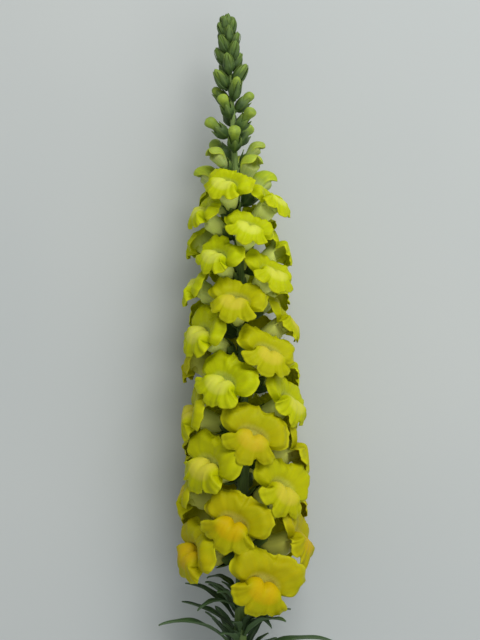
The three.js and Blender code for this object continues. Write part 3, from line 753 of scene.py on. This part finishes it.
def add_bud(knobs, sepals, organ):
    """A closed bud. Its radius runs over BUD_ALONG, mixed from EGG and KNOB, with a seam above and
    below; round it stand five sepals, short on an old bud and closed over a young one, whose rim is a
    star. Both droop a little towards the tip."""
    length, width, t = organ.length, organ.width, organ.t
    x = np.linspace(-0.06, 1, 20)
    r = np.interp(x, BUD_ALONG, lerp(np.array(EGG), np.array(KNOB), organ.knob)) * width
    angle = np.arange(24) * 15.0
    seam = 1 - 0.06 * bump(np.abs((angle % 180) - 90), 90, 16)[None] * smooth(0.55, 0.9, x)[:, None]
    rings = organ.ring((x * length)[:, None], r[:, None] * seam, angle[None])
    droop = -BUD_DROOP * width * smooth(0.5, 1, x)[:, None, None] * organ.top
    knobs.add(press(rings + droop), along=x[:, None], age=t)
    share, off, which = sepal_outline(SEPAL_ANGLES + 36 * (organ.i % 2))
    luck = chance(organ.i * 5 + which, 84)
    gap = lerp(0.3, 0.34, organ.knob)
    tip = lerp(lerp(0.9, 1.0, t), 0.56, organ.knob) + 0.1 * (luck - 0.5)
    rim = lerp(gap, tip, share)
    v = np.linspace(0, 1, 9)[:, None]
    w = np.linspace(1, 0, 4)[:, None]
    both = np.concatenate([lerp(-0.08, rim[None], v), lerp(0.1, rim[None], w)])
    shell = np.interp(both, BUD_ALONG, lerp(np.array(EGG_SEPALS), np.array(KNOB_SEPALS), organ.knob))
    ridge = 0.035 * bump(off, 0, 0.2)[None] - 0.03 * bump(off, 1, 0.25)[None]
    flare = 0.09 * luck * smooth(0.35, 1, both) * share[None] ** 2
    radius = (shell + ridge * smooth(-0.05, 0.2, both) + flare) * width
    radius[len(v) :] -= SEPAL_THICKNESS_ON_BUD
    rings = organ.ring(both * length, radius, SEPAL_ANGLES[None])
    droop = -BUD_DROOP * width * smooth(0.5, 1, both)[..., None] * organ.top
    sepals.add(
        press(rings + droop),
        ends=(organ.put(-0.1 * length, 0.0, 0.0), organ.put(0.05 * length, 0.0, 0.0)),
        tip=np.concatenate([smooth(0.5, 1, v) * share[None], w * share[None]]),
        rib=bump(off, 0, 0.22)[None],
        tint=chance(organ.i, 83),
    )


# ---- The stalk's skin ---------------------------------------------------------------------------

# Rings of the flat cut, from its middle out: shares of the radius, and how much pith shows.
CUT_SHARES = (0.12, 0.4, 0.66, 0.84, 0.95)
CUT_PITH = (1, 1, 1, 0.8, 0.3)


def stalk_skin():
    """A ribbed tube: the stalk's line with its radius, five faint ribs that turn slowly, and a
    swelling under each organ. The cut end is a flat face in rings, so that the pith can show."""
    rows, around = 360, 32
    s = np.concatenate([np.zeros(len(CUT_SHARES)), np.linspace(0, STEM_LENGTH - 2, rows)])
    share = np.concatenate([CUT_SHARES, np.ones(rows)])[:, None]
    pith = np.concatenate([CUT_PITH, np.zeros(rows)])[:, None]
    turn = np.arange(around) * 360 / around
    _, side, up = stalk_frame(s)
    ribs = 1 + 0.022 * np.cos(np.radians(turn)[None] * 5 + s[:, None] * 0.012)
    organ_turns = FIRST_TURN + np.arange(ORGAN_COUNT) * GOLDEN_ANGLE
    apart = np.abs((turn[None, :, None] - organ_turns + 180) % 360 - 180)
    swelling = (bump(s[:, None, None], PLACES - 0.8, 1.9) * bump(apart, 0, 34)).sum(-1)
    radius = stalk_radius(s)[:, None] * ribs * share + 0.45 * swelling * (share == 1)
    out = outward(side[:, None], up[:, None], np.broadcast_to(turn, (len(s), around)))
    skin = Skin()
    skin.add(
        stalk_point(s)[:, None] + out * radius[..., None],
        ends=(stalk_point(0), stalk_point(STEM_LENGTH)),
        pith=pith,
        height=s[:, None] / STEM_LENGTH,
    )
    return skin


# ---- Leaves -------------------------------------------------------------------------------------

LEAF_ROOT = 3.4  # how far a leaf reaches into the stalk
LEAF_FLOOR = 0.1  # the least height of a leaf over the surface


def add_leaf(skin, s, turn, length, width, pitches, luck, rows=44, across_count=15):
    """A narrow blade folded along its midrib, at distance s from the cut and an angle round the
    stalk. The midline arches outwards from the first pitch to the second; the half width is a smooth
    rise times a power fall; the margins wave a little. The blade starts inside the stalk."""
    along, level_side, up = stalk_frame(s)
    out = outward(level_side, up, turn)
    leaf_across = np.cross(along, out)
    steps = 24
    t_fine = np.arange(steps + 1) / steps
    pitch = np.radians(lerp(*pitches, t_fine**0.9))[:, None]
    moves = (np.cos(pitch) * along + np.sin(pitch) * out) * length / steps
    start = stalk_point(s) + out * (stalk_radius(s) + SEAT_GAP + LEAF_THICKNESS)
    line = press(start + np.cumsum(moves, 0) - moves)
    t = np.concatenate([[-0.06, -0.03], np.linspace(0, 0.995, rows)])

    def at(value):
        value = np.clip(value, 0, 1)
        return np.stack([np.interp(value, t_fine, line[:, axis]) for axis in range(3)], -1)

    centre = at(t) + np.minimum(t, 0)[:, None] / 0.06 * LEAF_ROOT * out
    ahead = unit(at(t + 0.03) - at(t - 0.03))
    near = smooth(10, 2, centre[:, 2])[:, None]
    level = unit(np.cross(ahead, [0.0, 0.0, 1.0]))
    level = level * np.where((level * leaf_across).sum(-1, keepdims=True) < 0, -1, 1)
    across = unit(lerp(leaf_across, level, near))
    face = unit(np.cross(across, ahead))
    face = face * np.where((face * along).sum(-1, keepdims=True) < 0, -1, 1)
    tt = np.clip(t, 0, 1)
    outline = (0.28 + 0.72 * smooth(0, 0.4, tt)) * (1 - tt**2.6) ** 0.8
    half = np.maximum(width / 2 * outline, 0.12) * np.where(t < 0, 0.75, 1)
    u = np.concatenate([np.linspace(-1, 1, across_count), np.linspace(1, -1, across_count)[1:-1]])
    top = np.concatenate([np.ones(across_count), -np.ones(across_count - 2)])
    fold = LEAF_FOLD * (1 - 0.7 * near) * half[:, None]
    rise = fold * np.abs(u)[None] ** 1.25
    wave = np.sin(t[:, None] * 15 + 6 * luck + 1.7 * (u > 0)[None])
    rise = rise + 0.5 * np.abs(u)[None] ** 2.5 * wave * (half / 4)[:, None]
    groove = -0.22 * bump(u, 0, 0.12)[None] * (half / 4)[:, None]
    slanted = np.sin((t[:, None] * 26 - np.abs(u)[None] * 5) * 2)
    veins = -0.07 * np.clip(slanted, 0.3, 1) * (np.abs(u) < 0.9)[None]
    thick = lerp(0.3, 0.14, np.abs(u) ** 2)[None] + 0.25 * bump(u, 0, 0.14)[None] * (top < 0)[None]
    lift = rise + (groove + veins) + top[None] * thick
    rings = centre[:, None] + (half[:, None] * u[None])[..., None] * across[:, None]
    rings = rings + lift[..., None] * face[:, None]
    rings[..., 2] = np.maximum(rings[..., 2], LEAF_FLOOR)
    skin.add(
        rings,
        rib=bump(u, 0, 0.11)[None],
        upper=(top[None] + 1) / 2,
        margin=smooth(0.75, 1, np.abs(u))[None],
        tint=luck,
    )


def leaf_place(j):
    """Where leaf j starts: its distance from the cut and its angle round the stalk. Leaves that
    would point down are turned aside."""
    s = lerp(FIRST_LEAF, LAST_LEAF, (j / (LEAF_COUNT - 1)) ** 0.8)
    from_down = ((j * GOLDEN_ANGLE + 250) % 360) - 180
    return s, 180 + np.sign(from_down) * lerp(58, 180, abs(from_down) / 180)


def leaf_skin(j):
    """Leaf j: long ones below, shorter ones near the flowers."""
    s, turn = leaf_place(j)
    size = lerp(LEAF_LENGTH, TOP_LEAF_LENGTH, smooth(0.6, 1, j / (LEAF_COUNT - 1)))
    length = size * (1 + play(j, 11, 0.16))
    width = LEAF_WIDTH * (length / LEAF_LENGTH) ** 0.5
    pitches = (36 + play(j, 12, 10), 98 + play(j, 13, 40))
    skin = Skin()
    add_leaf(skin, s, turn, length, width, pitches, chance(j, 15))
    return skin


TUFT_LEAVES = 4  # small leaves of the young shoot in the corner over each leaf
TUFT_LENGTH = (13.0, 27.0)
UPPER_LEAVES = 13  # small single leaves between the tufts and the lowest flower
UPPER_FROM, UPPER_TO = 136.0, 185.0
UPPER_LENGTH = (38, 18)


def small_leaves():
    """The short leafy shoots over the leaves, and single small leaves up to the lowest flower, which
    get shorter upwards. Chance varies their lengths and how they arch."""
    skin = Skin()
    small = {"rows": 18, "across_count": 9}
    for j in range(LEAF_COUNT):
        s, turn = leaf_place(j)
        for n in range(TUFT_LEAVES):
            i = 100 + j * TUFT_LEAVES + n
            length = lerp(*TUFT_LENGTH, chance(i, 91))
            width = 0.22 * length + 1.4
            aside = (n - 1.5) * 26 + play(i, 92, 14)
            above = s + 2.0 + 1.2 * n
            pitches = (16 + 22 * chance(i, 93), 48 + 50 * chance(i, 94))
            add_leaf(skin, above, turn + aside, length, width, pitches, chance(i, 95), **small)
    for n in range(UPPER_LEAVES):
        i = 200 + n
        share = n / (UPPER_LEAVES - 1)
        length = lerp(*UPPER_LENGTH, share) + 6 * chance(i, 96)
        width = 0.15 * length + 2.2
        pitches = (36 + 16 * chance(i, 93), 76 + 50 * chance(i, 94))
        s = lerp(UPPER_FROM, UPPER_TO, share)
        turn = -70 + n * GOLDEN_ANGLE
        add_leaf(skin, s, turn, length, width, pitches, chance(i, 95), **small)
    return skin


# ---- Finishes -----------------------------------------------------------------------------------


class Finish:
    """A material as it is put together: short calls for the few kinds of node used here."""

    def __init__(self, name, roughness, **fixed):
        self.material = bpy.data.materials.new(name)
        self.material.use_nodes = True
        self.tree = self.material.node_tree
        self.shader = self.tree.nodes["Principled BSDF"]
        self.shader.inputs["Roughness"].default_value = roughness
        for key, value in fixed.items():
            self.shader.inputs[key.replace("_", " ")].default_value = value
        self.spot = self.tree.nodes.new("ShaderNodeTexCoord")

    def node(self, kind, settings=(), **inputs):
        made = self.tree.nodes.new(kind)
        for key, value in dict(settings).items():
            setattr(made, key, value)
        for key, value in inputs.items():
            self.feed(made.inputs[key.replace("_", " ")], value)
        return made

    def feed(self, socket, value):
        if isinstance(value, bpy.types.NodeSocket):
            self.tree.links.new(value, socket)
        else:
            socket.default_value = value

    def held(self, name):
        return self.node("ShaderNodeAttribute", {"attribute_name": name}).outputs["Fac"]

    def math(self, operation, a, b):
        made = self.tree.nodes.new("ShaderNodeMath")
        made.operation = operation
        self.feed(made.inputs[0], a)
        self.feed(made.inputs[1], b)
        return made.outputs[0]

    def times(self, a, b):
        return self.math("MULTIPLY", a, b)

    def mix(self, factor, a, b):
        """Colour a, turning to colour b as factor goes from 0 to 1."""
        made = self.tree.nodes.new("ShaderNodeMix")
        made.data_type = "RGBA"
        self.feed(made.inputs[0], factor)
        self.feed(made.inputs[6], a)
        self.feed(made.inputs[7], b)
        return made.outputs[2]

    def between(self, value, low, high, out_low=0.0, out_high=1.0):
        """A smooth step from out_low to out_high, as value goes from low to high."""
        limits = {"From_Min": low, "From_Max": high, "To_Min": out_low, "To_Max": out_high}
        smoothly = {"interpolation_type": "SMOOTHSTEP"}
        return self.node("ShaderNodeMapRange", smoothly, Value=value, **limits).outputs[0]

    def noise(self, scale, detail=3.0, stretch=(1, 1, 1), place="Object"):
        """Cloudy variation about 0.5, with so many spots to a metre, or to a skin's whole width."""
        where = self.node("ShaderNodeMapping", Vector=self.spot.outputs[place])
        where.inputs["Scale"].default_value = stretch
        made = self.node("ShaderNodeTexNoise", Vector=where.outputs[0], Scale=scale, Detail=detail)
        return made.outputs["Fac"]

    def tinged(self, under, over, place, amount):
        """Colour under, with up to amount of colour over where place is 1."""
        return self.mix(self.times(place, amount), under, over)

    def clouded(self, under, over, spots, low, high, amount=1.0):
        """Colour under, with up to amount of colour over where the noise spots is over low to high."""
        return self.mix(self.between(spots, low, high, 0, amount), under, over)

    def colour(self, socket):
        self.feed(self.shader.inputs["Base Color"], socket)

    def rough(self, value, low, high):
        self.feed(self.shader.inputs["Roughness"], self.between(value, 0.25, 0.75, low, high))

    def relief(self, *layers):
        """Bump layers, each (height, strength, depth in metres)."""
        normal = None
        for height, strength, depth in layers:
            made = self.node("ShaderNodeBump", Height=height, Strength=strength, Distance=depth)
            if normal is not None:
                self.feed(made.inputs["Normal"], normal)
            normal = made.outputs[0]
        self.feed(self.shader.inputs["Normal"], normal)


def petal_finish():
    """Lemon to golden petal with a lighter margin: pale tube, warmer palate, fine veins along the
    petal's lines."""
    f = Finish(
        "snapdragon_petal",
        0.55,
        Specular_IOR_Level=0.09,
        Subsurface_Weight=0.1,
        Subsurface_Scale=0.0012,
        Subsurface_Radius=(1.0, 0.7, 0.15),
    )
    along, age, boss, tint, front = (f.held(k) for k in ("along", "age", "boss", "tint", "front"))
    luck = f.times(f.math("SUBTRACT", tint, 0.5), 0.5)
    ripe = f.between(f.math("ADD", age, luck), 0.1, 1.0)
    petal = f.mix(ripe, linear(186, 198, 2), linear(174, 164, 0))
    petal = f.clouded(petal, linear(168, 178, 2), f.noise(60, 2), 0.35, 0.7, 0.35)
    tube = f.mix(ripe, linear(226, 238, 128), linear(236, 236, 112))
    throat_end = f.math("ADD", 0.76, f.times(front, -0.1))
    throat = f.between(along, 0.5, throat_end, 1, 0)
    petal = f.mix(throat, petal, tube)
    warm = f.mix(ripe, linear(212, 218, 84), linear(198, 167, 2))
    petal = f.mix(f.between(boss, 0.4, 1.0, 0, 0.9), petal, warm)
    veins = f.noise(1.0, 3, (64, 3.0, 1), "UV")
    lines = f.between(veins, 0.42, 0.62)
    calm = f.between(boss, 0.1, 0.5, 1, 0)
    outwards = f.times(calm, f.between(along, 0.3, 0.9, 0.3, 1))
    drawn = f.times(f.between(lines, 0, 1, 0.22, 0), outwards)
    petal = f.mix(drawn, petal, linear(160, 160, 20))
    f.colour(f.mix(f.between(along, 0.93, 1.0, 0, 0.35), petal, linear(218, 220, 36)))
    f.rough(f.noise(900, 3), 0.42, 0.62)
    f.relief((f.times(veins, calm), 0.22, 0.00035), (f.noise(2600, 2), 0.2, 0.00008))
    return f.material


def opening_finish():
    """Opening bud: green-yellow hood, brightest at its rim; pale tube and lower lip; an olive
    shadow colour inside the mouth."""
    f = Finish(
        "snapdragon_opening_bud",
        0.55,
        Specular_IOR_Level=0.2,
        Subsurface_Weight=0.08,
        Subsurface_Scale=0.0012,
    )
    along, under, mouth, rim, age = (f.held(k) for k in ("along", "under", "mouth", "rim", "age"))
    hood = f.mix(age, linear(178, 196, 26), linear(166, 184, 78))
    hood = f.clouded(hood, linear(140, 162, 44), f.noise(180, 3), 0.4, 0.7, 0.4)
    tube = f.mix(age, linear(200, 214, 140), linear(178, 194, 118))
    hood = f.mix(f.between(along, 0.4, 0.66, 0.9, 0), hood, tube)
    hood = f.tinged(hood, linear(202, 214, 60), rim, 0.7)
    lip = f.mix(f.between(along, 0.45, 0.75), tube, linear(186, 198, 110))
    shade = f.mix(under, hood, lip)
    shade = f.mix(mouth, shade, linear(112, 124, 8))
    veins = f.noise(1.0, 3, (50, 3.0, 1), "UV")
    shade = f.mix(f.between(veins, 0.45, 0.65, 0.25, 0), shade, linear(112, 134, 44))
    f.colour(shade)
    f.relief((veins, 0.3, 0.0003), (f.noise(2600, 2), 0.2, 0.00008))
    return f.material


def green_finish(name, body, tip, dark):
    """A green skin of the raceme: body colour, lighter tips and ribs, fine downy grain."""
    f = Finish(name, 0.55, Specular_IOR_Level=0.3)
    tips, rib, tint = (f.held(k) for k in ("tip", "rib", "tint"))
    shade = f.clouded(body, dark, f.noise(240, 3), 0.35, 0.7)
    shade = f.tinged(shade, dark, tint, 0.35)
    shade = f.tinged(shade, tip, rib, 0.3)
    f.colour(f.tinged(shade, tip, tips, 0.55))
    grain = f.noise(3200, 2)
    f.rough(grain, 0.47, 0.65)
    f.relief((f.noise(700, 3), 0.4, 0.0003), (grain, 0.4, 0.0001))
    return f.material


def knob_finish():
    """Green bud: dark at the calyx, light yellow-green at the closed tip, greener when young."""
    f = Finish("snapdragon_bud_knob", 0.55, Specular_IOR_Level=0.3)
    along, age = f.held("along"), f.held("age")
    light = f.mix(f.between(age, 0.15, 0.6), linear(154, 176, 58), linear(98, 126, 50))
    shade = f.mix(f.between(along, 0.35, 0.8), linear(84, 112, 44), light)
    f.colour(f.clouded(shade, linear(104, 132, 54), f.noise(320, 3), 0.38, 0.66, 0.55))
    f.relief((f.noise(900, 3), 0.3, 0.0002), (f.noise(3200, 2), 0.3, 0.0001))
    return f.material


def stalk_finish():
    """Mid green stalk, paler upwards, streaked along its length, with pale pith at the cut."""
    f = Finish("snapdragon_stalk", 0.55, Specular_IOR_Level=0.35)
    pith, height = f.held("pith"), f.held("height")
    streaks = f.noise(1.0, 3, (26, 60, 1), "UV")
    body = f.mix(height, linear(104, 134, 66), linear(144, 170, 92))
    shade = f.clouded(body, linear(74, 104, 46), streaks, 0.35, 0.7, 0.6)
    shade = f.clouded(shade, linear(140, 158, 92), f.noise(90, 2), 0.45, 0.75, 0.35)
    cut = f.clouded(linear(206, 214, 168), linear(176, 190, 130), f.noise(900, 3), 0.4, 0.65)
    f.colour(f.mix(pith, shade, cut))
    f.relief((streaks, 0.35, 0.0003), (f.noise(2600, 2), 0.35, 0.0001))
    return f.material


def leaf_finish():
    """Dark green blade with a paler midrib and margins, lighter underneath."""
    f = Finish("snapdragon_leaf", 0.45)
    rib, upper, margin, tint = (f.held(k) for k in ("rib", "upper", "margin", "tint"))
    body = f.clouded(linear(52, 82, 42), linear(38, 64, 32), f.noise(110, 3), 0.35, 0.7)
    body = f.tinged(body, linear(66, 94, 48), tint, 0.4)
    body = f.tinged(body, linear(112, 138, 84), rib, 0.55)
    body = f.tinged(body, linear(86, 112, 58), margin, 0.2)
    f.colour(f.mix(f.between(upper, 0.2, 0.8, 0.55, 0), body, linear(98, 122, 82)))
    f.rough(f.noise(600, 3), 0.38, 0.58)
    f.relief((f.noise(500, 4), 0.5, 0.0003), (f.noise(2400, 2), 0.3, 0.0001))
    return f.material


# ---- The stem, piece by piece -------------------------------------------------------------------


def number(i):
    return f"{i + 1:02d}"


petal = petal_finish()
for i, organ in enumerate(FLOWERS):
    n = number(i)
    corolla(organ).piece(f"corolla_{n}", petal, "petal", f"flower_{n}")

opening = opening_finish()
for i, organ in enumerate(OPENING):
    n = number(i)
    opening_bud(organ).piece(f"hooded_bud_{n}", opening, "opening_petal", f"opening_bud_{n}")

calyces, pedicels, bracts, knobs, sepals = Skin(), Skin(), Skin(), Skin(), Skin()
for organ in FLOWERS + OPENING:
    add_calyx(calyces, organ)
    add_pedicel(pedicels, organ, PEDICEL_RADIUS)
    add_bract(bracts, organ, BRACT_SIZE[0] * organ.scale, BRACT_SIZE[1], BRACT_LEAN)
for organ in BUDS:
    add_bud(knobs, sepals, organ)
    add_pedicel(pedicels, organ, BUD_PEDICEL_RADIUS)
    if organ.t < CLASPED_FROM:
        add_bract(bracts, organ, *BUD_BRACT_SIZE, BUD_BRACT_LEAN)
    else:
        add_clasping_bract(bracts, organ)

calyx_greens = (linear(76, 102, 48), linear(128, 150, 62), linear(50, 74, 28))
bract_greens = (linear(86, 110, 58), linear(112, 138, 62), linear(56, 80, 34))
calyx_green = green_finish("snapdragon_calyx", *calyx_greens)
bract_green = green_finish("snapdragon_bract", *bract_greens)
calyces.piece("calyces", calyx_green, "stem", "stem")
pedicels.piece("pedicels", calyx_green, "stem", "stem")
bracts.piece("bracts", bract_green, "stem", "stem")
sepals.piece("bud_sepals", calyx_green, "stem", "stem")
knobs.piece("bud_knobs", knob_finish(), "stem", "stem")
stalk_skin().piece("stalk", stalk_finish(), "stem", "stem")

leaf = leaf_finish()
for j in range(LEAF_COUNT):
    n = number(j)
    leaf_skin(j).piece(f"leaf_blade_{n}", leaf, "leaf", f"leaf_{n}")
small_leaves().piece("small_leaves", leaf, "leaf", "stem")


# ---- Floor, light and camera --------------------------------------------------------------------

# In metres, but for the sensor: the middle of the view lies so far up the stem from the origin, and
# the view is so long there.
VIEW_MIDDLE = 0.08
FRAME_HEIGHT = 0.365
CAMERA_HEIGHT = 0.85
FLOOR_HALF = 3
SENSOR = 36.0  # millimetres


def floor():
    """A pale level sheet, far larger than the stem."""
    mesh = bpy.data.meshes.new("floor")
    corners = [(x * FLOOR_HALF, y * FLOOR_HALF, 0) for x, y in ((-1, -1), (1, -1), (1, 1), (-1, 1))]
    mesh.from_pydata(corners, [], [(0, 1, 2, 3)])
    f = Finish("pale_floor", 0.8)
    f.colour(f.clouded(linear(196, 200, 200), linear(190, 195, 196), f.noise(3, 2), 0.3, 0.7))
    mesh.materials.append(f.material)
    made = bpy.data.objects.new("floor", mesh)
    bpy.context.scene.collection.objects.link(made)


def lamp(name, place, size, power, colour):
    """A square soft light at place, in metres, turned to the middle of the raceme."""
    data = bpy.data.lights.new(name, "AREA")
    data.size, data.energy, data.color = size, power, colour
    made = bpy.data.objects.new(name, data)
    made.location = place
    target = np.array([0.0, VIEW_MIDDLE, 0.03])
    made.rotation_euler = Vector(target - np.array(place)).to_track_quat("-Z", "Y").to_euler()
    bpy.context.scene.collection.objects.link(made)


floor()
lamp("key_light", (0.42, 1.2, 1.05), 0.9, 16, (1.0, 0.99, 0.95))
lamp("fill_light", (0.75, -0.35, 1.3), 1.4, 5.5, (0.97, 0.99, 1.0))
world = bpy.data.worlds.new("soft_room")
world.use_nodes = True
world.node_tree.nodes["Background"].inputs["Color"].default_value = (0.95, 0.98, 0.97, 1)
world.node_tree.nodes["Background"].inputs["Strength"].default_value = 0.42
bpy.context.scene.world = world
bpy.context.scene.view_settings.view_transform = "Standard"

lens_data = bpy.data.cameras.new("camera")
lens_data.sensor_width = SENSOR
lens_data.lens = SENSOR * (CAMERA_HEIGHT - REST_HEIGHT * MM) / FRAME_HEIGHT
camera = bpy.data.objects.new("camera", lens_data)
camera.location = (0.0, VIEW_MIDDLE, CAMERA_HEIGHT)
bpy.context.scene.collection.objects.link(camera)
bpy.context.scene.camera = camera
